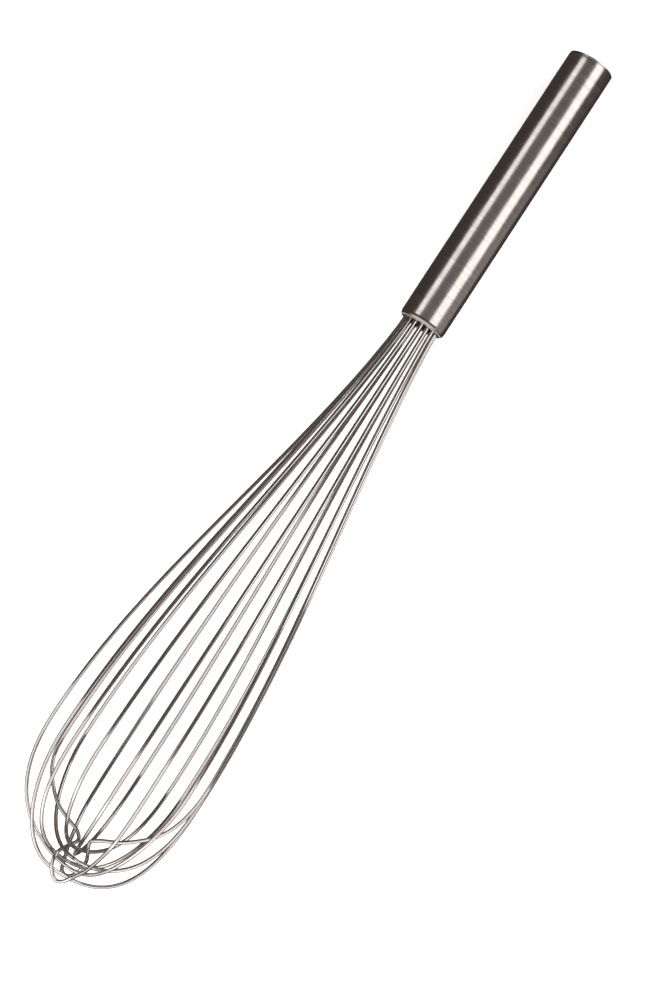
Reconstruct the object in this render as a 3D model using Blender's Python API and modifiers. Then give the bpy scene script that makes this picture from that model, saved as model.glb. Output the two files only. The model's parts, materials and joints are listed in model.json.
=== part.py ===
"""Balloon whisk in stainless steel: a plain tube handle and eight wire loops, lying at rest.

Everything is laid out in the whisk's own axis frame and hangs from one empty, which tips the
whisk until its handle end and its two lowest wires touch the ground:
    x runs along the axis, 0 at the closed end of the handle, growing towards the tip
    y runs to the right and z upwards when the whisk is seen with its handle away
"""
import math
from collections import namedtuple

import bpy
import numpy as np

MM = 0.001

# ---- driving dimensions, millimetres -------------------------------------------------------
OVERALL = 400.0          # closed end of the handle to the tip
HANDLE_LENGTH = 131.0    # closed end of the handle to its mouth
HANDLE_RADIUS = 10.25
WALL = 0.9               # handle tube
WIRE_DIAMETER = 1.7
PITCH_RADIUS = 7.2       # the ring of wire centres at the mouth
GAP = 0.3                # between pieces that touch

# ---- handle ----------------------------------------------------------------------------------
CAP_DISC = 0.8           # thickness of the end cap's disc
CAP_SKIRT = 5.0          # how far the cap reaches into the tube
CAP_EDGE = 0.25          # rounding of the cap's outer edge
CAP_EDGE_STEPS = 3
LIP_DEPTH = 2.4          # the stretch of tube that curls in at the mouth
LIP_RADIUS = 8.45        # opening left by the curled lip
LIP_STEPS = 6            # straight pieces in the lip's curl
BORE = HANDLE_RADIUS - WALL

# ---- inside the handle, positions along the axis ---------------------------------------------
PIECE_RADIUS = BORE - GAP            # outside of all pieces that sit in the tube
GROOVE_RADIUS = WIRE_DIAMETER / 2 + GAP
LEG_START = 91.0                     # inner ends of the wires
STOP_DISC = (88.6, 90.6)
RETAINER = (92.0, 112.0)
RETAINER_RADIUS = 6.9
GROOVE_STEPS = 6         # straight pieces round a groove
LEG_HOLE_SIDES = 10
SLEEVE_RADIUS = PITCH_RADIUS + GROOVE_RADIUS
SEAL = (112.5, 120.0)
SHANK_RADIUS = 3.0                   # core pin, in the bores of the retainer and the seal
CORE_HEAD_RADIUS = 5.7
CORE_HEAD = (120.4, 126.0)
CORE_ROUNDING = 1.6                  # of the head's outer edge
CORE_STEPS = 4
CORE_START = 94.0
CORE_HOLE_SIDES = 24

# ---- wire cage -------------------------------------------------------------------------------
LEGS = 16
LOWER_TWIST = 3.6        # degrees by which the lowest leg sits round from its even place
SPREAD_START = 130.0     # where the legs begin to spread, just inside the mouth
BELLY = 214.0            # from there to the widest place
TIP_CENTRE = OVERALL - WIRE_DIAMETER / 2     # centre line of the outermost wire at the tip
CHORD_ERROR = 0.07       # how far a straight piece of wire may cut a bend
LONGEST_CHORD = 14.0
WIRE_SIDES_RESOLUTION = 2
ROUND_STEPS = 48

# A leg leaves the mouth at its slot in the ring and drifts to its own azimuth (0 right,
# 90 up), measured in degrees round the axis. belly is its largest distance from the axis;
# arch is the fullness of its bend at the tip, 2 for an ellipse; swell is how late it swells,
# 1 for a plain sine.
Leg = namedtuple("Leg", "slot azimuth belly arch swell", defaults=(2.0, 1.35))

# Plain loops, innermost first: both legs, and the height of the bend above the tip.
PLAIN_LOOPS = (
    (Leg(5, 114.5, 35.0, 2.1), Leg(13, 303.0, 33.0, 2.5), 14.2),
    (Leg(4, 90.5, 33.0, 2.1), Leg(12, 277.5, 33.5, 2.5), 12.1),
    (Leg(10, 225.5, 34.6, 2.1), Leg(0, 10.0, 31.4, 2.4), 10.0),
    (Leg(6, 136.0, 35.0, 2.6), Leg(14, 317.0, 33.0, 2.2), 7.9),
    (Leg(8, 181.0, 38.7, 2.3, 1.45), Leg(2, 38.5, 32.0, 1.85), 5.8),
    (Leg(7, 160.0, 33.4, 2.2), Leg(15, 346.0, 32.4, 2.7), 2.1),
)

# Locking loops: both legs, and the places that the bend passes on its way through the stack,
# each as (height above the tip, y, z).
FRONT_LOCK = (
    Leg(9, 205.0, 34.0), Leg(3, 69.5, 32.0),
    ((42.5, -30.4, -14.2), (35.0, -28.0, -13.0), (28.3, -22.6, -10.4), (23.9, -17.0, -7.6),
     (21.5, -10.6, -4.9), (19.6, -4.6, -2.4), (17.2, -2.3, -0.4), (13.3, -4.7, 4.2),
     (9.6, -6.5, 10.3), (4.8, -5.7, 11.4), (1.5, -3.2, 10.6), (0.2, -0.6, 10.2),
     (1.6, 1.9, 10.8), (4.8, 3.9, 12.2), (9.4, 6.6, 15.8), (18.0, 9.2, 22.2), (28.3, 10.9, 27.4)),
)
BACK_LOCK = (
    Leg(1, 19.0, 32.0), Leg(11, 255.5, 34.3),
    ((55.6, 30.1, 10.4), (42.8, 27.2, 9.4), (35.4, 23.0, 7.9), (26.8, 13.8, 5.2),
     (21.6, 4.8, 2.8), (19.2, 2.2, 1.4), (16.6, 2.9, -0.3), (13.4, 4.3, -3.4),
     (10.6, 5.1, -7.4), (6.8, 5.0, -10.4), (2.9, 3.6, -11.2), (1.1, 1.2, -11.3), (1.8, -1.2, -12.2),
     (5.8, -3.0, -15.2), (10.5, -4.6, -19.4), (17.2, -6.3, -24.8), (27.0, -7.8, -29.4)),
)
LOCK_LEG_LENGTH = 190.0  # a locking loop follows its legs this far


# ---- centre lines of the wires ---------------------------------------------------------------
def outward(azimuth):
    angle = math.radians(azimuth)
    return np.array([0.0, math.cos(angle), math.sin(angle)])


def ease(t):
    t = min(max(t, 0.0), 1.0)
    return t * t * (3 - 2 * t)


def slot_azimuth(slot):
    """The upper half of the ring is evenly spaced; the lower half is twisted slightly."""
    return 360.0 / LEGS * slot + LOWER_TWIST * max(0.0, -math.sin(2 * math.pi * slot / LEGS))


def leg_point(leg, distance):
    """The point of a leg at a distance along the axis from where the legs spread."""
    start_azimuth = slot_azimuth(leg.slot)
    drift = (leg.azimuth - start_azimuth + 180.0) % 360.0 - 180.0
    along = max(distance, 0.0) / BELLY
    swell = math.sin(math.pi / 2 * along ** leg.swell)
    radius = PITCH_RADIUS + (leg.belly - PITCH_RADIUS) * swell
    foot = np.array([SPREAD_START + distance, 0.0, 0.0])
    return foot + radius * outward(start_azimuth + drift * ease(along))


def leg_line(leg, reach, count=40):
    """A leg from its inner end in the handle to a distance from where the legs spread."""
    buried = LEG_START - SPREAD_START
    start = [leg_point(leg, buried), leg_point(leg, buried / 2)]
    return start + [leg_point(leg, reach * k / count) for k in range(count + 1)]


def bend_line(first, second, height, count=120):
    """The bend of a plain loop: half of a superellipse on each side of the axis."""
    widest = SPREAD_START + BELLY
    depth = TIP_CENTRE - height - widest
    points = []
    for k in range(1, count):
        angle = math.pi * k / count
        share = ease((1 - math.cos(angle)) / 2)
        arch = (1 - share) * first.arch + share * second.arch
        across = math.copysign(abs(math.cos(angle)) ** (2 / arch), math.cos(angle))
        along = math.sin(angle) ** (2 / arch)
        turn = ease((1 - across) / 2)
        side = (1 - turn) * first.belly * outward(first.azimuth)
        side = side - turn * second.belly * outward(second.azimuth)
        points.append(np.array([widest + depth * along, 0.0, 0.0]) + across * side)
    return points


def smooth_line(points, count=12):
    """A centripetal Catmull-Rom curve through the points."""
    points = [np.array(point, dtype=float) for point in points]
    points = [2 * points[0] - points[1]] + points + [2 * points[-1] - points[-2]]
    line = []
    for before, start, end, after in zip(points, points[1:], points[2:], points[3:]):
        d1 = np.linalg.norm(start - before) ** 0.5
        d2 = np.linalg.norm(end - start) ** 0.5
        d3 = np.linalg.norm(after - end) ** 0.5
        leave = (start - before) / d1 - (end - before) / (d1 + d2) + (end - start) / d2
        arrive = (end - start) / d2 - (after - start) / (d2 + d3) + (after - end) / d3
        for k in range(count):
            t = k / count
            line.append((2 * t ** 3 - 3 * t ** 2 + 1) * start + (t ** 3 - 2 * t ** 2 + t) * d2 * leave
                        + (3 * t ** 2 - 2 * t ** 3) * end + (t ** 3 - t ** 2) * d2 * arrive)
    line.append(points[-2])
    return line


def plain_loop(first, second, height):
    bend = bend_line(first, second, height)
    return leg_line(first, BELLY) + bend + leg_line(second, BELLY)[::-1]


def locking_loop(first, second, places):
    bend = [np.array([TIP_CENTRE - height, y, z]) for height, y, z in places]
    legs = [leg_line(leg, LOCK_LEG_LENGTH, 9) for leg in (first, second)]
    return smooth_line(legs[0] + bend + legs[1][::-1])


def thinned(line):
    """As few points of a fine line as keep its bends within CHORD_ERROR."""
    line = np.array(line)
    step = np.diff(line, axis=0)
    length = np.linalg.norm(step, axis=1)
    heading = step / length[:, None]
    turn = np.linalg.norm(np.diff(heading, axis=0), axis=1)
    curvature = np.zeros(len(length))
    curvature[1:] = 2 * turn / (length[1:] + length[:-1])
    curvature[:-1] = np.maximum(curvature[:-1], curvature[1:])
    need = np.maximum(length * np.sqrt(curvature / (8 * CHORD_ERROR)), length / LONGEST_CHORD)
    reached = np.concatenate([[0.0], np.cumsum(need)])
    places = np.linspace(0.0, reached[-1], math.ceil(reached[-1]) + 1)
    return np.stack([np.interp(places, reached, line[:, axis]) for axis in range(3)], axis=1)


# ---- Blender helpers ---------------------------------------------------------------------------
def make_material(name, colour, roughness, metallic):
    material = bpy.data.materials.new(name)
    material.use_nodes = True
    shader = material.node_tree.nodes["Principled BSDF"]
    shader.inputs["Base Color"].default_value = (*colour, 1.0)
    shader.inputs["Roughness"].default_value = roughness
    shader.inputs["Metallic"].default_value = metallic
    return material


def finish_piece(piece, material, whisk, pose):
    whisk.objects.link(piece)
    piece.parent = pose
    piece.data.materials.append(material)


def make_wire(name, line, material, whisk, pose):
    curve = bpy.data.curves.new(name, "CURVE")
    curve.dimensions = "3D"
    curve.bevel_depth = WIRE_DIAMETER / 2 * MM
    curve.bevel_resolution = WIRE_SIDES_RESOLUTION
    curve.use_fill_caps = True
    spline = curve.splines.new("POLY")
    spline.points.add(len(line) - 1)
    for point, place in zip(spline.points, line):
        point.co = (*(place * MM), 1.0)
        point.radius = 1.0
    finish_piece(bpy.data.objects.new(name, curve), material, whisk, pose)


def make_turned(name, profile, material, whisk, pose, closed=True):
    """A turned piece from (x, radius) points that run round its section."""
    vertices = [(radius * MM, 0.0, -x * MM) for x, radius in profile]
    count = len(vertices)
    edges = [(k, (k + 1) % count) for k in range(count if closed else count - 1)]
    mesh = bpy.data.meshes.new(name)
    mesh.from_pydata(vertices, edges, [])
    piece = bpy.data.objects.new(name, mesh)
    screw = piece.modifiers.new("turn", "SCREW")
    screw.axis = "Z"
    screw.steps = ROUND_STEPS
    screw.render_steps = ROUND_STEPS
    screw.use_merge_vertices = True
    screw.merge_threshold = 0.00001
    piece.rotation_euler = (0.0, -math.pi / 2, 0.0)
    finish_piece(piece, material, whisk, pose)


def add_outline(curve, points):
    spline = curve.splines.new("POLY")
    spline.points.add(len(points) - 1)
    for point, (across, up) in zip(spline.points, points):
        point.co = (across * MM, up * MM, 0.0, 1.0)
    spline.use_cyclic_u = True


def make_plate(name, outlines, start, end, material, whisk, pose):
    """A flat piece across the axis, from x = start to x = end, with holes."""
    curve = bpy.data.curves.new(name, "CURVE")
    curve.dimensions = "2D"
    curve.fill_mode = "BOTH"
    curve.extrude = (end - start) / 2 * MM
    for points in outlines:
        add_outline(curve, points)
    piece = bpy.data.objects.new(name, curve)
    piece.location = ((start + end) / 2 * MM, 0.0, 0.0)
    piece.rotation_euler = (math.pi / 2, 0.0, math.pi / 2)
    finish_piece(piece, material, whisk, pose)


def circle(radius, sides, centre=(0.0, 0.0)):
    angles = [2 * math.pi * k / sides for k in range(sides)]
    return [(centre[0] + radius * math.cos(a), centre[1] + radius * math.sin(a)) for a in angles]


# ---- the pieces ----------------------------------------------------------------------------------
def make_handle_tube(material, whisk, pose):
    """The tube, whose wall curls inwards at the mouth."""
    back = CAP_DISC + GAP
    bend_start = HANDLE_LENGTH - LIP_DEPTH
    profile = [(back, BORE), (back, HANDLE_RADIUS)]
    outer_drop = HANDLE_RADIUS - LIP_RADIUS
    for k in range(LIP_STEPS + 1):
        angle = math.pi / 2 * k / LIP_STEPS
        profile.append((bend_start + LIP_DEPTH * math.sin(angle),
                        LIP_RADIUS + outer_drop * math.cos(angle)))
    inner_depth = LIP_DEPTH - WALL
    inner_drop = BORE - LIP_RADIUS
    for k in range(LIP_STEPS, -1, -1):
        angle = math.pi / 2 * k / LIP_STEPS
        profile.append((bend_start + inner_depth * math.sin(angle),
                        LIP_RADIUS + inner_drop * math.cos(angle)))
    make_turned("handle_tube", profile, material, whisk, pose)


def make_end_cap(material, whisk, pose):
    """A pressed cup: a disc that covers the end of the tube, and a skirt inside it."""
    rim = HANDLE_RADIUS - CAP_EDGE
    inside = PIECE_RADIUS - WALL
    profile = [(0.0, 0.0), (0.0, rim)]
    for k in range(1, CAP_EDGE_STEPS + 1):
        angle = math.pi / 2 * k / CAP_EDGE_STEPS
        profile.append((CAP_EDGE - CAP_EDGE * math.cos(angle), rim + CAP_EDGE * math.sin(angle)))
    profile += [(CAP_DISC, HANDLE_RADIUS), (CAP_DISC, PIECE_RADIUS), (CAP_SKIRT, PIECE_RADIUS),
                (CAP_SKIRT, inside), (CAP_DISC, inside), (CAP_DISC, 0.0)]
    make_turned("end_cap", profile, material, whisk, pose, closed=False)


def make_stop_disc(material, whisk, pose):
    start, end = STOP_DISC
    profile = [(start, 0.0), (start, PIECE_RADIUS), (end, PIECE_RADIUS), (end, 0.0)]
    make_turned("stop_disc", profile, material, whisk, pose, closed=False)


def make_wire_retainer(material, whisk, pose):
    """A plug whose edge has a groove for each leg, with a bore for the core pin."""
    reach = math.acos((PITCH_RADIUS ** 2 + GROOVE_RADIUS ** 2 - RETAINER_RADIUS ** 2)
                      / (2 * PITCH_RADIUS * GROOVE_RADIUS))
    outline = []
    for slot in range(LEGS):
        azimuth = math.radians(slot_azimuth(slot))
        for k in range(GROOVE_STEPS + 1):
            swing = math.pi - reach * (1 - 2 * k / GROOVE_STEPS)
            across = PITCH_RADIUS + GROOVE_RADIUS * math.cos(swing)
            up = GROOVE_RADIUS * math.sin(swing)
            outline.append((across * math.cos(azimuth) + up * math.sin(azimuth),
                            across * math.sin(azimuth) - up * math.cos(azimuth)))
    bore = circle(SHANK_RADIUS + GAP, CORE_HOLE_SIDES)
    make_plate("wire_retainer", [outline, bore], *RETAINER, material, whisk, pose)


def make_clamp_sleeve(material, whisk, pose):
    start, end = RETAINER
    profile = [(start, SLEEVE_RADIUS), (start, PIECE_RADIUS), (end, PIECE_RADIUS),
               (end, SLEEVE_RADIUS)]
    make_turned("clamp_sleeve", profile, material, whisk, pose)


def make_mouth_seal(material, whisk, pose):
    """A disc with a hole for each leg and for the core pin."""
    outlines = [circle(PIECE_RADIUS, ROUND_STEPS), circle(SHANK_RADIUS + GAP, CORE_HOLE_SIDES)]
    for slot in range(LEGS):
        centre = PITCH_RADIUS * outward(slot_azimuth(slot))
        outlines.append(circle(GROOVE_RADIUS, LEG_HOLE_SIDES, (centre[1], centre[2])))
    make_plate("mouth_seal", outlines, *SEAL, material, whisk, pose)


def make_core_pin(material, whisk, pose):
    """A pin with a rounded head that keeps the ring of legs apart at the mouth."""
    head_start, head_end = CORE_HEAD
    profile = [(CORE_START, 0.0), (CORE_START, SHANK_RADIUS), (head_start, SHANK_RADIUS),
               (head_start, CORE_HEAD_RADIUS)]
    for k in range(CORE_STEPS + 1):
        angle = math.pi / 2 * k / CORE_STEPS
        profile.append((head_end - CORE_ROUNDING + CORE_ROUNDING * math.sin(angle),
                        CORE_HEAD_RADIUS - CORE_ROUNDING + CORE_ROUNDING * math.cos(angle)))
    profile.append((head_end, 0.0))
    make_turned("core_pin", profile, material, whisk, pose, closed=False)


# ---- lying on the ground -----------------------------------------------------------------------
def resting_tilt(lines):
    """The tilt at which the handle's end and the lowest wires touch the same plane."""
    steepest = 0.0
    for line in lines:
        away = line[:, 0]
        down = -HANDLE_RADIUS - line[:, 2]
        distance = np.hypot(away, down)
        angle = np.arctan2(down, away) + np.arcsin(WIRE_DIAMETER / 2 / distance)
        steepest = max(steepest, float(angle.max()))
    return steepest


def world_corners(piece, depsgraph):
    shape = piece.evaluated_get(depsgraph)
    mesh = shape.to_mesh()
    corners = np.array([shape.matrix_world @ vertex.co for vertex in mesh.vertices])
    shape.to_mesh_clear()
    return corners


def stand_on_ground(whisk, pose):
    """Moves the whisk so that its box stands on z = 0, centred on the origin."""
    bpy.context.view_layer.update()
    depsgraph = bpy.context.evaluated_depsgraph_get()
    corners = np.concatenate([world_corners(piece, depsgraph) for piece in whisk.objects
                              if piece.type != "EMPTY"])
    low, high = corners.min(axis=0), corners.max(axis=0)
    pose.location = (-(low[0] + high[0]) / 2, -(low[1] + high[1]) / 2, -low[2])


def shade_round(whisk):
    for piece in whisk.objects:
        if piece.type == "MESH":
            piece.modifiers["turn"].use_smooth_shade = True


def main():
    for piece in list(bpy.data.objects):
        bpy.data.objects.remove(piece, do_unlink=True)
    whisk = bpy.data.collections.new("balloon_whisk")
    bpy.context.scene.collection.children.link(whisk)
    pose = bpy.data.objects.new("rest_pose", None)
    whisk.objects.link(pose)

    satin = make_material("satin_steel", (0.44, 0.41, 0.39), 0.36, 1.0)
    polished = make_material("polished_steel", (0.68, 0.66, 0.64), 0.18, 1.0)
    cap_steel = make_material("cap_steel", (0.48, 0.46, 0.44), 0.32, 1.0)
    sleeve_steel = make_material("sleeve_steel", (0.55, 0.54, 0.52), 0.40, 1.0)
    pin_steel = make_material("pin_steel", (0.30, 0.29, 0.28), 0.45, 1.0)
    nylon = make_material("dark_nylon", (0.05, 0.05, 0.05), 0.55, 0.0)
    disc_nylon = make_material("disc_nylon", (0.08, 0.08, 0.08), 0.60, 0.0)
    resin = make_material("grey_resin", (0.12, 0.11, 0.10), 0.50, 0.0)

    make_handle_tube(satin, whisk, pose)
    make_end_cap(cap_steel, whisk, pose)
    make_stop_disc(disc_nylon, whisk, pose)
    make_wire_retainer(nylon, whisk, pose)
    make_clamp_sleeve(sleeve_steel, whisk, pose)
    make_mouth_seal(resin, whisk, pose)
    make_core_pin(pin_steel, whisk, pose)

    lines = {}
    for number, loop in enumerate(PLAIN_LOOPS, start=1):
        lines[f"wire_loop_{number}"] = thinned(plain_loop(*loop))
    lines["locking_loop_front"] = thinned(locking_loop(*FRONT_LOCK))
    lines["locking_loop_back"] = thinned(locking_loop(*BACK_LOCK))
    for name, line in lines.items():
        make_wire(name, line, polished, whisk, pose)

    pose.rotation_euler = (0.0, -resting_tilt(lines.values()), 0.0)
    stand_on_ground(whisk, pose)
    shade_round(whisk)


main()
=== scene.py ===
"""Looks of the balloon whisk: satin tube handle, polished wire loops, soft studio light."""
import json
import math
from collections import namedtuple

import bpy
import numpy as np
from mathutils import Matrix, Vector


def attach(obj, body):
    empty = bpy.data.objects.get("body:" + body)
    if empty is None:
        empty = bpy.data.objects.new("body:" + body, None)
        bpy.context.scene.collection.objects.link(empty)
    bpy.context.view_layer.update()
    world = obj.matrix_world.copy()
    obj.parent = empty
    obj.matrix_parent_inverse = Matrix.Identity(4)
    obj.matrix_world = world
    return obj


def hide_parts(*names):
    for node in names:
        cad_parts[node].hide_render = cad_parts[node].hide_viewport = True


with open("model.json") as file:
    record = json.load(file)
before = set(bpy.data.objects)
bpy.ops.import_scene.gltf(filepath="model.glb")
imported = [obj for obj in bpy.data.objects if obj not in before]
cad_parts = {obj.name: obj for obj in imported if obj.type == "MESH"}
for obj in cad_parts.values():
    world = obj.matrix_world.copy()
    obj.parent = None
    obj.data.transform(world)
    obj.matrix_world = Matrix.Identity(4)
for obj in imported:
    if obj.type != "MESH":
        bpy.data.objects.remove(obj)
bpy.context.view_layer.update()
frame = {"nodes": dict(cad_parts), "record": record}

MM = 0.001
UM = 0.000001

# ---- dimensions in millimetres, in the whisk's axis frame ----
# x runs along the axis from the closed end of the handle, y right and z up.
OVERALL = 400.0
HANDLE_LENGTH = 131.0
SPREAD_START = 130.0     # where the legs begin to spread
HANDLE_RADIUS = 10.25
WALL = 0.9
WIRE_RADIUS = 0.85
SHOWN_RADIUS = 0.82      # keeps the round wire inside the extremes of the faceted CAD wire
PITCH_RADIUS = 7.2       # of the ring of legs at the mouth
BORE = HANDLE_RADIUS - WALL
CAP_DISC = 0.8
CAP_SKIRT = 5.0
SEAM = 0.06              # hairline between the end cap and the tube
LIP_DEPTH = 2.4
LIP_RADIUS = 8.45
LEG_START = 91.0
SEAL = (112.5, 120.0)
PIECE_RADIUS = BORE - 0.3
CORE_HEAD = (120.4, 126.0)
CORE_HEAD_RADIUS = 5.7
CORE_SHANK = 3.0
CORE_START = 94.0

LEGS = 16
LOWER_TWIST = 3.6        # degrees by which the lowest leg sits round from its even place
BELLY = 214.0            # how far past SPREAD_START the cage is at its widest
TIP_CENTRE = OVERALL - WIRE_RADIUS
LOCK_LEG_LENGTH = 190.0  # of a locking loop's legs, up to their hook
LOCK_LEG_STEPS = 9
PLAIN_LEG_STEPS = 160
CHORD_ERROR = 0.003      # how far a chord may stand off its wire's centre line
LONGEST_CHORD = 2.2
WIRE_SIDES = 18
TURNED_SIDES = 160
WIRE_CREASE = 60.0       # degrees from which an edge is drawn sharp
TURNED_CREASE = 35.0
SEAL_CREASE = 40.0

# A leg's slot in the ring at the mouth, its azimuth and distance from the axis where the cage is
# widest, the fullness of its bend at the tip, and how late it swells.
Leg = namedtuple("Leg", "slot azimuth belly arch swell", defaults=(2.0, 1.35))

# Two legs, and how far under the top of the tip their bend passes.
PLAIN_LOOPS = (
    (Leg(5, 114.5, 35.0, 2.1), Leg(13, 303.0, 33.0, 2.5), 14.2),
    (Leg(4, 90.5, 33.0, 2.1), Leg(12, 277.5, 33.5, 2.5), 12.1),
    (Leg(10, 225.5, 34.6, 2.1), Leg(0, 10.0, 31.4, 2.4), 10.0),
    (Leg(6, 136.0, 35.0, 2.6), Leg(14, 317.0, 33.0, 2.2), 7.9),
    (Leg(8, 181.0, 38.7, 2.3, 1.45), Leg(2, 38.5, 32.0, 1.85), 5.8),
    (Leg(7, 160.0, 33.4, 2.2), Leg(15, 346.0, 32.4, 2.7), 2.1),
)

# Two legs, and the places of the hook between them: how far under the tip, y and z.
FRONT_LOCK = (
    Leg(9, 205.0, 34.0), Leg(3, 69.5, 32.0),
    ((42.5, -30.4, -14.2), (35.0, -28.0, -13.0), (28.3, -22.6, -10.4), (23.9, -17.0, -7.6),
     (21.5, -10.6, -4.9), (19.6, -4.6, -2.4), (17.2, -2.3, -0.4), (13.3, -4.7, 4.2),
     (9.6, -6.5, 10.3), (4.8, -5.7, 11.4), (1.5, -3.2, 10.6), (0.2, -0.6, 10.2),
     (1.6, 1.9, 10.8), (4.8, 3.9, 12.2), (9.4, 6.6, 15.8), (18.0, 9.2, 22.2), (28.3, 10.9, 27.4)),
)
BACK_LOCK = (
    Leg(1, 19.0, 32.0), Leg(11, 255.5, 34.3),
    ((55.6, 30.1, 10.4), (42.8, 27.2, 9.4), (35.4, 23.0, 7.9), (26.8, 13.8, 5.2),
     (21.6, 4.8, 2.8), (19.2, 2.2, 1.4), (16.6, 2.9, -0.3), (13.4, 4.3, -3.4),
     (10.6, 5.1, -7.4), (6.8, 5.0, -10.4), (2.9, 3.6, -11.2), (1.1, 1.2, -11.3), (1.8, -1.2, -12.2),
     (5.8, -3.0, -15.2), (10.5, -4.6, -19.4), (17.2, -6.3, -24.8), (27.0, -7.8, -29.4)),
)


# ---- where the whisk lies ----
def resting_pose():
    """The matrix from the axis frame to the row frame, from the end cap's face."""
    face = next(m for m in frame["record"]["mounts"] if m["name"] == "end_face")
    along = -Vector(face["axis"]).normalized()
    across = Vector((0.0, 1.0, 0.0))
    pose = Matrix((along, across, along.cross(across))).transposed().to_4x4()
    pose.translation = Vector(face["pos_m"])
    return pose


POSE = resting_pose()


# ---- centre lines of the wires ----
def outward(azimuth):
    """The direction away from the axis at an azimuth in degrees, from y towards z."""
    angle = math.radians(azimuth)
    return np.array([0.0, math.cos(angle), math.sin(angle)])


def ease(t):
    """A smooth step from 0 to 1."""
    t = min(max(t, 0.0), 1.0)
    return t * t * (3 - 2 * t)


def slot_azimuth(slot):
    """The upper half of the ring is evenly spaced; the lower half is twisted slightly."""
    return 360.0 / LEGS * slot + LOWER_TWIST * max(0.0, -math.sin(2 * math.pi * slot / LEGS))


def leg_point(leg, distance):
    """Where a leg is at a distance along the axis from the place where the legs spread."""
    start_azimuth = slot_azimuth(leg.slot)
    drift = (leg.azimuth - start_azimuth + 180.0) % 360.0 - 180.0
    along = max(distance, 0.0) / BELLY
    swell = math.sin(math.pi / 2 * along ** leg.swell)
    radius = PITCH_RADIUS + (leg.belly - PITCH_RADIUS) * swell
    foot = np.array([SPREAD_START + distance, 0.0, 0.0])
    return foot + radius * outward(start_azimuth + drift * ease(along))


def leg_line(leg, reach, steps):
    """A leg from its end in the handle to where it has come a distance of reach."""
    buried = LEG_START - SPREAD_START
    start = [leg_point(leg, buried), leg_point(leg, buried / 2)]
    return start + [leg_point(leg, reach * k / steps) for k in range(steps + 1)]


def bend_line(first, second, height, count=400):
    """The bend between two legs: a superellipse that passes from one leg's to the other's."""
    widest = SPREAD_START + BELLY
    depth = TIP_CENTRE - height - widest
    points = []
    for k in range(1, count):
        angle = math.pi * k / count
        share = ease((1 - math.cos(angle)) / 2)
        arch = (1 - share) * first.arch + share * second.arch
        across = math.copysign(abs(math.cos(angle)) ** (2 / arch), math.cos(angle))
        along = math.sin(angle) ** (2 / arch)
        turn = ease((1 - across) / 2)
        side = (1 - turn) * first.belly * outward(first.azimuth)
        side = side - turn * second.belly * outward(second.azimuth)
        points.append(np.array([widest + depth * along, 0.0, 0.0]) + across * side)
    return points


def smooth_line(points, count=40):
    """A centripetal Catmull-Rom curve through the points."""
    points = [np.array(point, dtype=float) for point in points]
    points = [2 * points[0] - points[1]] + points + [2 * points[-1] - points[-2]]
    line = []
    for before, start, end, after in zip(points, points[1:], points[2:], points[3:]):
        first = np.linalg.norm(start - before) ** 0.5
        middle = np.linalg.norm(end - start) ** 0.5
        last = np.linalg.norm(after - end) ** 0.5
        leave = (start - before) / first - (end - before) / (first + middle) + (end - start) / middle
        arrive = (end - start) / middle - (after - start) / (middle + last) + (after - end) / last
        for k in range(count):
            t = k / count
            line.append((2 * t ** 3 - 3 * t ** 2 + 1) * start + (3 * t ** 2 - 2 * t ** 3) * end
                        + (t ** 3 - 2 * t ** 2 + t) * middle * leave
                        + (t ** 3 - t ** 2) * middle * arrive)
    line.append(points[-2])
    return line


def relaxed(line, rounds=6):
    """Evens out the places where a leg turns into a bend."""
    line = np.array(line)
    for _ in range(rounds):
        line[1:-1] = 0.25 * line[:-2] + 0.5 * line[1:-1] + 0.25 * line[2:]
    return line


def plain_loop(first, second, height):
    """Up one leg, over the tip and down the other."""
    bend = bend_line(first, second, height)
    legs = [leg_line(leg, BELLY, PLAIN_LEG_STEPS) for leg in (first, second)]
    return relaxed(legs[0] + bend + legs[1][::-1])


def locking_loop(first, second, places):
    """Up one leg, through the places of the hook and down the other."""
    bend = [np.array([TIP_CENTRE - height, y, z]) for height, y, z in places]
    legs = [leg_line(leg, LOCK_LEG_LENGTH, LOCK_LEG_STEPS) for leg in (first, second)]
    return smooth_line(legs[0] + bend + legs[1][::-1])


def thinned(line):
    """Points along the line, closer where it curves more."""
    line = np.array(line)
    step = np.diff(line, axis=0)
    length = np.linalg.norm(step, axis=1)
    heading = step / length[:, None]
    turn = np.linalg.norm(np.diff(heading, axis=0), axis=1)
    curvature = np.zeros(len(length))
    curvature[1:] = 2 * turn / (length[1:] + length[:-1])
    curvature[:-1] = np.maximum(curvature[:-1], curvature[1:])
    need = np.maximum(length * np.sqrt(curvature / (8 * CHORD_ERROR)), length / LONGEST_CHORD)
    reached = np.concatenate([[0.0], np.cumsum(need)])
    places = np.linspace(0.0, reached[-1], math.ceil(reached[-1]) + 1)
    return np.stack([np.interp(places, reached, line[:, axis]) for axis in range(3)], axis=1)


# ---- meshes ----
def add_piece(name, vertices, faces, material, node, crease):
    """A piece from vertices in millimetres in the axis frame, riding on the whisk."""
    mesh = bpy.data.meshes.new(name)
    mesh.from_pydata([POSE @ Vector(co * MM) for co in vertices], [], faces)
    mesh.polygons.foreach_set("use_smooth", [True] * len(mesh.polygons))
    mesh.set_sharp_from_angle(angle=math.radians(crease))
    mesh.materials.append(material)
    mesh.update()
    piece = bpy.data.objects.new(name, mesh)
    bpy.context.scene.collection.objects.link(piece)
    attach(piece, "root")
    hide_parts(node)
    return piece


def faces_between(rings):
    """Faces between neighbouring rings of vertices; a ring may be one vertex repeated."""
    faces = []
    for here, there in zip(rings, rings[1:]):
        for j in range(len(here)):
            after = (j + 1) % len(here)
            faces.append(tuple(dict.fromkeys((here[j], here[after], there[after], there[j]))))
    return faces


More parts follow.
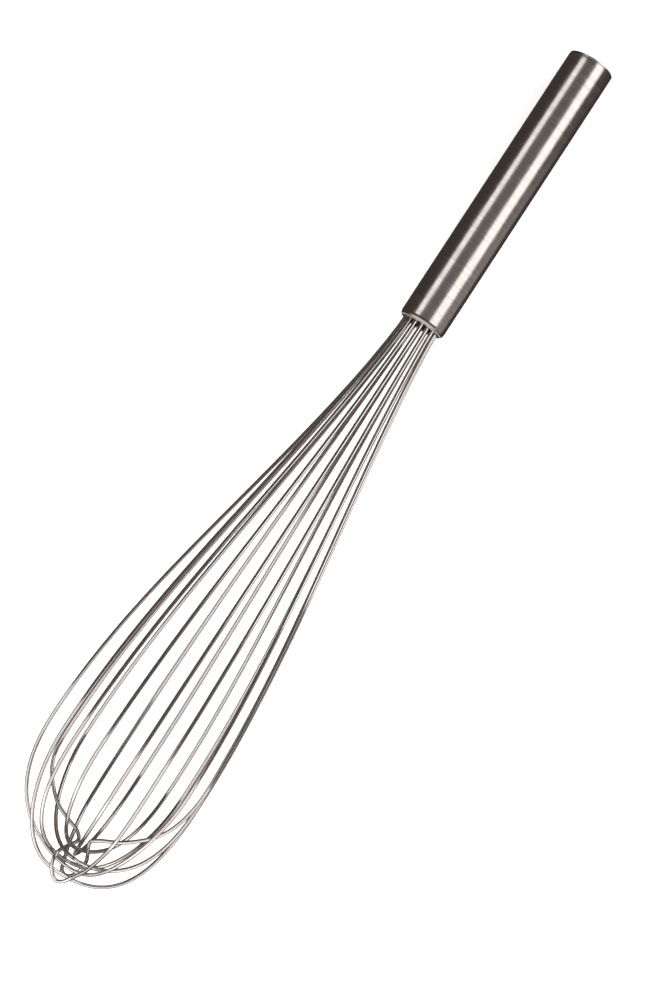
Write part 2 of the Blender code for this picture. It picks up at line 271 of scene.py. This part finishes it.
def tube_along(line, radius, sides):
    """Vertices and faces of a round wire, with each vertex's place along and round it."""
    heading = np.gradient(line, axis=0)
    heading /= np.linalg.norm(heading, axis=1)[:, None]
    normal = np.cross(heading[0], [0.0, 0.0, 1.0])
    if np.linalg.norm(normal) < 0.1:
        normal = np.cross(heading[0], [0.0, 1.0, 0.0])
    travelled = np.concatenate([[0.0], np.cumsum(np.linalg.norm(np.diff(line, axis=0), axis=1))])
    vertices, places = [], []
    for k, centre in enumerate(line):
        normal = normal - heading[k] * np.dot(normal, heading[k])
        normal /= np.linalg.norm(normal)
        other = np.cross(heading[k], normal)
        for j in range(sides):
            angle = 2 * math.pi * j / sides
            across, up = math.cos(angle), math.sin(angle)
            vertices.append(centre + radius * (across * normal + up * other))
            places.append((travelled[k] * MM, across * radius * MM, up * radius * MM))
    rings = [range(k * sides, (k + 1) * sides) for k in range(len(line))]
    faces = faces_between(rings) + [tuple(rings[0][::-1]), tuple(rings[-1])]
    return vertices, faces, places


def turned(profile, sides):
    """Vertices and faces of a profile of (x, radius) turned about the axis, which it starts and
    ends on or else goes round."""
    vertices, rings = [], []
    for x, radius in profile:
        if radius == 0.0:
            rings.append([len(vertices)] * sides)
            vertices.append(np.array([x, 0.0, 0.0]))
            continue
        rings.append(list(range(len(vertices), len(vertices) + sides)))
        for j in range(sides):
            angle = 2 * math.pi * j / sides
            vertices.append(np.array([x, radius * math.cos(angle), radius * math.sin(angle)]))
    on_axis = profile[0][1] == profile[-1][1] == 0.0
    return vertices, faces_between(rings if on_axis else rings + rings[:1])


def corner(centre, radius_x, radius_r, start, end, steps):
    """A rounded corner of a profile: an arc about centre between two angles in degrees,
    0 pointing outwards and 90 towards the tip."""
    points = []
    for k in range(steps + 1):
        angle = math.radians(start + (end - start) * k / steps)
        points.append((centre[0] + radius_x * math.sin(angle),
                       centre[1] + radius_r * math.cos(angle)))
    return points


# ---- materials ----
class Shader:
    """The nodes of a material or a world, and short ways to add to them."""

    def __init__(self, owner, last="Principled BSDF"):
        owner.use_nodes = True
        self.owner = owner
        self.tree = owner.node_tree
        self.last = self.tree.nodes[last]

    def node(self, kind, settings=None, **inputs):
        """A new node; an input is given by its name, or by i and its number."""
        made = self.tree.nodes.new(kind)
        for key, value in (settings or {}).items():
            setattr(made, key, value)
        for key, value in inputs.items():
            numbered = key[0] == "i" and key[1:].isdigit()
            self.put(made.inputs[int(key[1:]) if numbered else key], value)
        return made

    def put(self, socket, value):
        if isinstance(value, bpy.types.NodeSocket):
            self.tree.links.new(value, socket)
        else:
            socket.default_value = value

    def set(self, **inputs):
        """Inputs of the last shader, with _ for a space in a name."""
        for key, value in inputs.items():
            self.put(self.last.inputs[key.replace("_", " ")], value)

    def noise(self, place, waves, detail=2.0, roughness=0.5, distortion=0.0):
        """Noise of so many waves to the metre: one number, or one each for x, y and z."""
        if isinstance(waves, tuple):
            place = self.node("ShaderNodeVectorMath", {"operation": "MULTIPLY"},
                              i0=place, i1=waves).outputs["Vector"]
            waves = 1.0
        return self.node("ShaderNodeTexNoise", None, Vector=place, Scale=waves, Detail=detail,
                         Roughness=roughness, Distortion=distortion).outputs["Fac"]

    def ranged(self, value, low, high, to_low, to_high, settings=None):
        """The value stretched from one range to another and held at its ends."""
        return self.node("ShaderNodeMapRange", settings, Value=value, i1=low, i2=high,
                         i3=to_low, i4=to_high).outputs["Result"]

    def math(self, operation, first, second):
        return self.node("ShaderNodeMath", {"operation": operation}, i0=first, i1=second).outputs[0]

    def mixed(self, first, share, second, other_share):
        """The sum of two values, each times its share."""
        return self.math("ADD", self.math("MULTIPLY", first, share),
                         self.math("MULTIPLY", second, other_share))

    def ramp(self, value, stops):
        """The colour that a value from 0 to 1 picks from stops of (position, colour)."""
        made = self.node("ShaderNodeValToRGB", None, Fac=value)
        elements = made.color_ramp.elements
        while len(elements) < len(stops):
            elements.new(0.5)
        for element, (position, colour) in zip(elements, stops):
            element.position = position
            element.color = (*colour, 1.0)
        return made.outputs["Color"]

    def bump(self, height, distance, normal=None):
        """A normal for a height of so many metres, on top of another bump's."""
        made = self.node("ShaderNodeBump", None, Height=height, Distance=distance, Strength=1.0)
        if normal is not None:
            self.put(made.inputs["Normal"], normal)
        return made.outputs["Normal"]

    def here(self):
        """Places on the whisk in its axis frame, in metres."""
        place = self.node("ShaderNodeTexCoord").outputs["Object"]
        return self.node("ShaderNodeMapping", {"vector_type": "TEXTURE"}, Vector=place,
                         Location=POSE.translation, Rotation=POSE.to_euler()).outputs["Vector"]

    def parts(self, vector):
        """A vector's x, y and z."""
        outputs = self.node("ShaderNodeSeparateXYZ", None, i0=vector).outputs
        return outputs["X"], outputs["Y"], outputs["Z"]

    def off_axis(self, y, z):
        """The distance from the whisk's axis."""
        return self.math("POWER", self.math("ADD", self.math("POWER", y, 2.0),
                                            self.math("POWER", z, 2.0)), 0.5)


def new_material(name):
    return Shader(bpy.data.materials.new(name))


def satin_steel():
    """Stainless tube brushed round its girth: fine rings, a slow waviness and a few scuffs on
    the outside, and a dull inside that mirrors nothing."""
    s = new_material("satin_steel_brushed")
    here = s.here()
    rings = s.noise(here, (6500.0, 60.0, 60.0), 3.0, 0.6)
    bands = s.noise(here, (900.0, 25.0, 25.0))
    waves = s.noise(here, (60.0, 130.0, 130.0))
    blotches = s.noise(here, 240.0, 3.0)
    scuffs = s.noise(here, (260.0, 2600.0, 2600.0), 2.0, 0.5, 0.4)
    scuff = s.ranged(scuffs, 0.66, 0.74, 0.0, 1.0)
    colour = s.ramp(s.mixed(rings, 0.5, bands, 0.5),
                    ((0.30, (0.50, 0.465, 0.445)), (0.52, (0.585, 0.555, 0.535)),
                     (0.72, (0.67, 0.645, 0.625))))
    x, y, z = s.parts(here)
    inside = s.ranged(s.off_axis(y, z), (BORE + 0.05) * MM, (BORE + 0.25) * MM, 1.0, 0.0)
    behind_lip = s.ranged(x, (HANDLE_LENGTH - 0.4) * MM, (HANDLE_LENGTH - 0.1) * MM, 1.0, 0.0)
    inside = s.math("MULTIPLY", inside, behind_lip)
    rough = s.ranged(rings, 0.25, 0.75, 0.17, 0.27)
    rough = s.math("ADD", rough, s.ranged(blotches, 0.35, 0.7, -0.02, 0.04))
    rough = s.math("ADD", rough, s.math("MULTIPLY", scuff, 0.014))
    rough = s.math("ADD", rough, s.math("MULTIPLY", inside, 0.4))
    normal = s.bump(waves, 60 * UM)
    normal = s.bump(bands, 2.2 * UM, normal)
    normal = s.bump(rings, 1.0 * UM, normal)
    s.set(Metallic=s.math("SUBTRACT", 1.0, inside), Base_Color=colour, Roughness=rough,
          Normal=normal)
    return s.owner


def polished_wire():
    """Drawn and polished stainless wire: faint marks along it and slight variations in tone."""
    s = new_material("polished_steel_wire")
    place = s.node("ShaderNodeAttribute", {"attribute_name": "place"}).outputs["Vector"]
    marks = s.noise(place, (60.0, 5200.0, 5200.0))
    slow = s.noise(place, (35.0, 300.0, 300.0))
    specks = s.noise(place, (1500.0, 2600.0, 2600.0))
    colour = s.ramp(s.mixed(marks, 0.6, slow, 0.4),
                    ((0.32, (0.58, 0.55, 0.53)), (0.55, (0.69, 0.665, 0.645)),
                     (0.72, (0.76, 0.74, 0.72))))
    rough = s.ranged(marks, 0.3, 0.7, 0.045, 0.085)
    rough = s.math("ADD", rough, s.ranged(specks, 0.62, 0.8, 0.0, 0.035))
    normal = s.bump(slow, 10 * UM)
    normal = s.bump(marks, 1.2 * UM, normal)
    s.set(Metallic=0.96, Base_Color=colour, Roughness=rough, Normal=normal)
    return s.owner


def turned_steel(name, dark, light, smooth, rough):
    """Steel with turning marks: fine circles about the axis."""
    s = new_material(name)
    here = s.here()
    x, y, z = s.parts(here)
    outwards = s.node("ShaderNodeCombineXYZ", None, X=s.math("ADD", s.off_axis(y, z), x), Y=y, Z=z)
    rings = s.noise(outwards.outputs["Vector"], (7000.0, 60.0, 60.0), 3.0, 0.6)
    cloud = s.noise(here, 300.0)
    s.set(Metallic=1.0, Base_Color=s.ramp(rings, ((0.3, dark), (0.7, light))),
          Roughness=s.math("ADD", s.ranged(rings, 0.3, 0.7, smooth, rough),
                           s.ranged(cloud, 0.3, 0.7, -0.03, 0.03)),
          Normal=s.bump(rings, 1.5 * UM))
    return s.owner


def moulded(name, dark, light, roughness):
    """Moulded plastic or cast resin with a fine grain and slight clouding."""
    s = new_material(name)
    here = s.here()
    grain = s.noise(here, 2600.0, 3.0, 0.6)
    cloud = s.noise(here, 350.0)
    s.set(Base_Color=s.ramp(s.mixed(grain, 0.4, cloud, 0.6), ((0.35, dark), (0.65, light))),
          Roughness=s.ranged(grain, 0.3, 0.7, roughness - 0.07, roughness + 0.07),
          Normal=s.bump(grain, 10 * UM))
    return s.owner


def rolled_steel():
    """Thin rolled strip: lines round the sleeve and a dull bloom."""
    s = new_material("sleeve_steel_rolled")
    here = s.here()
    lines = s.noise(here, (2600.0, 40.0, 40.0), 3.0)
    bloom = s.noise(here, 500.0, 3.0)
    colour = s.ramp(lines, ((0.3, (0.47, 0.46, 0.44)), (0.7, (0.60, 0.59, 0.57))))
    s.set(Metallic=1.0, Base_Color=colour, Roughness=s.ranged(bloom, 0.3, 0.7, 0.34, 0.48),
          Normal=s.bump(lines, 2 * UM))
    return s.owner


def pale_paper():
    """The backdrop's paper, which glows a little so that it stays white in its own shadows."""
    s = new_material("pale_paper")
    grain = s.noise(s.here(), 900.0, 3.0)
    s.set(Base_Color=s.ramp(grain, ((0.3, (0.93, 0.93, 0.93)), (0.7, (0.96, 0.96, 0.96)))),
          Roughness=0.9, Emission_Color=(1.0, 1.0, 1.0, 1.0), Emission_Strength=0.45,
          Specular_IOR_Level=0.0)
    return s.owner


# ---- the pieces ----
def add_turned(name, profile, material, node, sides=TURNED_SIDES):
    """A turned piece. Its profile runs from the handle's closed end round the outside, and is
    turned backwards so that the faces look outwards."""
    vertices, faces = turned(profile[::-1], sides)
    return add_piece(name, vertices, faces, material, node, TURNED_CREASE)


def add_handle(material):
    """The tube with its mouth curled inwards: the outside, the nose of the lip, the heel where
    its wall ends inside, and back along the inside of the curl."""
    start = CAP_DISC + SEAM
    edge = 0.12
    rows = 60
    bend_start = HANDLE_LENGTH - LIP_DEPTH
    nose_back, nose_x, nose_r = 0.28, 0.26, 0.22
    heel_back, heel = WALL - 0.05, 0.16
    inner_lip = LIP_RADIUS + 0.2
    profile = [(start, BORE)]
    profile += corner((start + edge, HANDLE_RADIUS - edge), edge, edge, -90.0, 0.0, 4)
    for k in range(1, rows):
        profile.append((start + edge + (bend_start - start - edge) * k / rows, HANDLE_RADIUS))
    curl = corner((bend_start, LIP_RADIUS), LIP_DEPTH, HANDLE_RADIUS - LIP_RADIUS, 0.0, 90.0, 20)
    profile += curl[:-2]
    profile += corner((HANDLE_LENGTH - nose_back, LIP_RADIUS + nose_r), nose_x, nose_r, 60.0, 180.0, 8)
    profile += corner((HANDLE_LENGTH - heel_back, LIP_RADIUS + heel), heel, heel, 180.0, 270.0, 4)
    profile += corner((bend_start, inner_lip), LIP_DEPTH - WALL, BORE - inner_lip, 80.0, 0.0, 8)
    return add_turned("handle_tube_satin", profile, material, "handle_tube")


def add_end_cap(material):
    """The disc that closes the handle, with a rounded rim and a skirt inside the tube."""
    rim, edge = 0.25, 0.06
    face_rings = (0.0, 3.0, 6.5)
    profile = [(0.0, radius) for radius in face_rings]
    profile += corner((rim, HANDLE_RADIUS - rim), rim, rim, -90.0, 0.0, 6)
    profile += [(CAP_DISC - edge, HANDLE_RADIUS), (CAP_DISC, HANDLE_RADIUS - edge),
                (CAP_DISC, PIECE_RADIUS), (CAP_SKIRT, PIECE_RADIUS),
                (CAP_SKIRT, PIECE_RADIUS - WALL), (CAP_DISC, PIECE_RADIUS - WALL), (CAP_DISC, 0.0)]
    return add_turned("end_cap_turned", profile, material, "end_cap")


def add_core_pin(material):
    """The pin: a shank, and a rounded head with a centre mark in its end."""
    rounding = 1.6
    mark_radius, mark_floor, mark_depth = 1.1, 0.5, 0.5
    start, end = CORE_HEAD
    profile = [(CORE_START, 0.0), (CORE_START, CORE_SHANK), (start, CORE_SHANK),
               (start, CORE_HEAD_RADIUS)]
    profile += corner((end - rounding, CORE_HEAD_RADIUS - rounding), rounding, rounding,
                      0.0, 90.0, 10)
    profile += [(end, mark_radius), (end - mark_depth, mark_floor), (end - mark_depth, 0.0)]
    return add_turned("core_pin_turned", profile, material, "core_pin", 96)


def add_mouth_seal(material):
    """Cast resin whose surface creeps up the legs and the tube wall."""
    start, end = SEAL
    sides, rows = 288, 34
    leg_creep, leg_reach = 0.55, 0.35
    wall_creep, wall_reach = 0.5, 0.4
    most_creep = 0.9
    inner = CORE_SHANK + 0.05
    legs = [outward(slot_azimuth(slot))[1:] * PITCH_RADIUS for slot in range(LEGS)]
    round_it = [outward(360.0 * j / sides) for j in range(sides)]
    vertices = []
    for k in range(rows + 1):
        radius = inner + (PIECE_RADIUS - inner) * k / rows
        wall_rise = wall_creep * math.exp(-(PIECE_RADIUS - radius) / wall_reach)
        for side in round_it:
            away = min(np.linalg.norm(radius * side[1:] - leg) for leg in legs) - WIRE_RADIUS
            rise = leg_creep * math.exp(-max(away, 0.0) / leg_reach) + wall_rise
            sunk = min(rise, most_creep) - most_creep
            vertices.append(np.array([end + sunk, 0.0, 0.0]) + radius * side)
    for radius in (PIECE_RADIUS, inner):
        vertices += [np.array([start, 0.0, 0.0]) + radius * side for side in round_it]
    rings = [range(k * sides, (k + 1) * sides) for k in range(rows + 3)]
    faces = faces_between((rings + rings[:1])[::-1])
    add_piece("mouth_seal_cast", vertices, faces, material, "mouth_seal", SEAL_CREASE)


def add_wire(node, line, material):
    """A wire along its centre line, which keeps its places for the material."""
    vertices, faces, places = tube_along(thinned(line), SHOWN_RADIUS, WIRE_SIDES)
    piece = add_piece(f"{node}_polished", vertices, faces, material, node,
                      WIRE_CREASE)
    place = piece.data.attributes.new("place", "FLOAT_VECTOR", "POINT")
    place.data.foreach_set("vector", [value for co in places for value in co])
    return piece


def add_wires(material):
    """The six plain loops, innermost first, and the two locking loops."""
    lines = [(f"wire_loop_{number}", plain_loop(*loop))
             for number, loop in enumerate(PLAIN_LOOPS, start=1)]
    lines += [("locking_loop_front", locking_loop(*FRONT_LOCK)),
              ("locking_loop_back", locking_loop(*BACK_LOCK))]
    return [add_wire(node, line, material) for node, line in lines]


def assign(node, material):
    """Gives a CAD node that is shown as it is a material."""
    mesh = frame["nodes"][node].data
    mesh.materials.clear()
    mesh.materials.append(material)


# ---- studio ----
def add_sweep(material):
    """A pale floor that rises into a round backdrop a long way off, in metres."""
    flat, rise, top, sides = 2.6, 1.6, 4.5, 96
    flat_rings, rise_rings = 8, 16
    gap_to_whisk = 0.0002
    profile = [(flat * k / flat_rings, 0.0) for k in range(1, flat_rings + 1)]
    profile += [(flat + rise * math.sin(math.pi / 2 * k / rise_rings),
                 rise * (1 - math.cos(math.pi / 2 * k / rise_rings)))
                for k in range(1, rise_rings + 1)]
    profile.append((flat + rise, top))
    vertices = [(0.0, 0.0, 0.0)]
    for radius, height in profile:
        for j in range(sides):
            angle = 2 * math.pi * j / sides
            vertices.append((radius * math.cos(angle), radius * math.sin(angle), height))
    rings = [[0] * sides]
    rings += [range(1 + k * sides, 1 + (k + 1) * sides) for k in range(len(profile))]
    mesh = bpy.data.meshes.new("studio_sweep")
    mesh.from_pydata(vertices, [], faces_between(rings[::-1]))
    mesh.polygons.foreach_set("use_smooth", [True] * len(mesh.polygons))
    mesh.materials.append(material)
    sweep = bpy.data.objects.new("studio_sweep", mesh)
    sweep.location = (0.0, 0.0, -gap_to_whisk)
    sweep.visible_glossy = False
    bpy.context.scene.collection.objects.link(sweep)
    return sweep


def add_light(name, place, lean, size, radiance, colour, lit=None):
    """A rectangular light that leans by an angle about X and may light some pieces only."""
    light = bpy.data.lights.new(name, "AREA")
    light.shape = "RECTANGLE"
    light.size, light.size_y = size
    light.energy = math.pi * size[0] * size[1] * radiance
    light.color = colour
    lamp = bpy.data.objects.new(name, light)
    lamp.location = place
    lamp.rotation_euler = (-lean, 0.0, 0.0)
    lamp.visible_camera = False
    bpy.context.scene.collection.objects.link(lamp)
    if lit is not None:
        lamp.light_linking.receiver_collection = bpy.data.collections.new(name + "_lights")
        for piece in lit:
            lamp.light_linking.receiver_collection.objects.link(piece)


def add_strip(name, angle, spread, distance, reach, radiance, colour, lit=None):
    """A light along the whisk: angle is its tilt from overhead towards +Y and spread the angle
    that its width fills, in degrees; reach is where it starts and ends along X, in metres."""
    width = 2 * distance * math.tan(math.radians(spread / 2))
    lean = math.radians(angle)
    place = ((reach[0] + reach[1]) / 2, distance * math.sin(lean), distance * math.cos(lean))
    add_light(name, place, lean, (reach[1] - reach[0], width), radiance, colour, lit)


def add_lights(handle, wires, sweep):
    """Pale panels round the room; most light only the handle or only the wires."""
    add_light("softbox_tip", (0.4375, 0.1, 0.5), 0.0, (0.625, 2.2), 1.1, (1.0, 0.965, 0.955),
              wires + [sweep])
    add_strip("strip_right", 43.9, 39.6, 0.55, (-1.2, -0.075), 1.8, (1.0, 0.99, 0.965))
    add_strip("strip_left", -43.6, 24.0, 4.0, (-2.2, -0.3), 1.6, (1.0, 0.975, 0.97), handle)
    add_strip("panel_overhead", -5.5, 53.0, 2.5, (-1.3, -0.25), 0.14, (1.0, 0.9, 0.86), handle)
    add_strip("panel_right_wires", 68.0, 34.0, 1.7, (-2.4, -0.1), 0.32, (1.0, 0.94, 0.91), wires)
    add_strip("panel_right_low", 91.0, 54.0, 1.7, (-0.55, 1.2), 0.30, (1.0, 0.91, 0.87))


def add_world():
    """A room whose light changes along X, from the handle's side to the tip's, and which fades
    to dark towards and under the horizon."""
    dark = (0.070, 0.056, 0.052)
    pale = (1.05, 1.015, 1.00)
    stops = ((-1.0, (0.36, 0.34, 0.33)), (-0.76, (0.52, 0.50, 0.485)), (-0.60, dark), (0.45, dark),
             (0.62, pale), (0.88, pale), (1.0, (0.70, 0.67, 0.66)))
    horizon = (0.0, 0.22)
    s = Shader(bpy.data.worlds.new("studio_room"), "Background")
    x, _, z = s.parts(s.node("ShaderNodeTexCoord").outputs["Generated"])
    room = s.ramp(s.ranged(x, -1.0, 1.0, 0.0, 1.0), [((x + 1) / 2, colour) for x, colour in stops])
    height = s.ranged(z, *horizon, 0.0, 1.0, {"interpolation_type": "SMOOTHSTEP"})
    both = s.node("ShaderNodeMixRGB", None, Fac=height, Color1=(*dark, 1.0), Color2=room)
    s.set(Color=both.outputs["Color"])
    bpy.context.scene.world = s.owner


def add_camera():
    """Straight down from 0.925 m, turned so that the handle points to the upper right."""
    camera = bpy.data.cameras.new("camera")
    camera.lens = 79.2
    camera.sensor_width = 36.0
    camera.clip_start = 0.05
    holder = bpy.data.objects.new("camera", camera)
    holder.location = (0.0111, 0.01253, 0.925)
    holder.rotation_euler = (0.0, 0.0, math.radians(123.1))
    bpy.context.scene.collection.objects.link(holder)
    bpy.context.scene.camera = holder


def main():
    tube = add_handle(satin_steel())
    cap = add_end_cap(turned_steel("cap_steel_turned", (0.46, 0.44, 0.42), (0.60, 0.58, 0.56),
                                   0.22, 0.34))
    add_core_pin(turned_steel("pin_steel_turned", (0.26, 0.25, 0.24), (0.36, 0.35, 0.34), 0.36, 0.5))
    add_mouth_seal(moulded("grey_resin_cast", (0.06, 0.055, 0.05), (0.11, 0.10, 0.09), 0.42))
    assign("wire_retainer", moulded("dark_nylon_moulded", (0.035, 0.035, 0.035),
                                    (0.06, 0.06, 0.06), 0.55))
    assign("stop_disc", moulded("disc_nylon_moulded", (0.06, 0.06, 0.06), (0.10, 0.10, 0.10), 0.6))
    assign("clamp_sleeve", rolled_steel())
    wires = add_wires(polished_wire())

    sweep = add_sweep(pale_paper())
    add_world()
    add_lights([tube, cap], wires, sweep)
    add_camera()

    view = bpy.context.scene.view_settings
    view.view_transform = "Standard"
    view.look = "None"


main()
bpy.context.view_layer.update()
